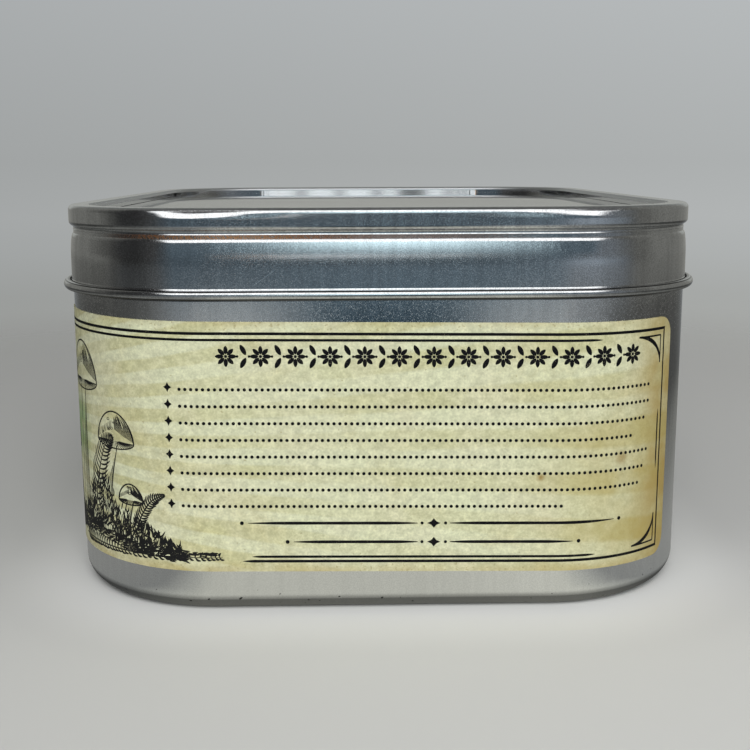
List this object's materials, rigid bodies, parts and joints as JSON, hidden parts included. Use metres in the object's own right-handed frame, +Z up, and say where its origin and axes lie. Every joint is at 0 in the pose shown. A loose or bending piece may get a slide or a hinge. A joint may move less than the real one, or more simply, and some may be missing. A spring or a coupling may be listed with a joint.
{
  "type": "rectangular slip-lid window tin",
  "caption": "Rounded rectangular tinplate box with a slip-on lid framing a clear window, a rolled lid edge and a wrap-round paper label; stands on its flat base.",
  "frame": {"origin": "under the middle of the tin, on the plane that its base stands on", "axes": "+Z up; Y along the tin's length, with the narrow end seen in the picture facing -Y; X across it"},
  "size_m": [0.101, 0.135, 0.0602],
  "materials": {
    "tub_tinplate": "satin lacquered tinplate, fine grain",
    "lid_tinplate": "bright lacquered tinplate, semi-gloss",
    "window_plastic": "clear, glossy",
    "label_paper": "matt aged paper"
  },
  "bodies": {
    "root": {"tin_body": "tub_tinplate", "tin_lid": "lid_tinplate", "lid_window": "window_plastic", "paper_label": "label_paper"}
  },
  "joints": []
}
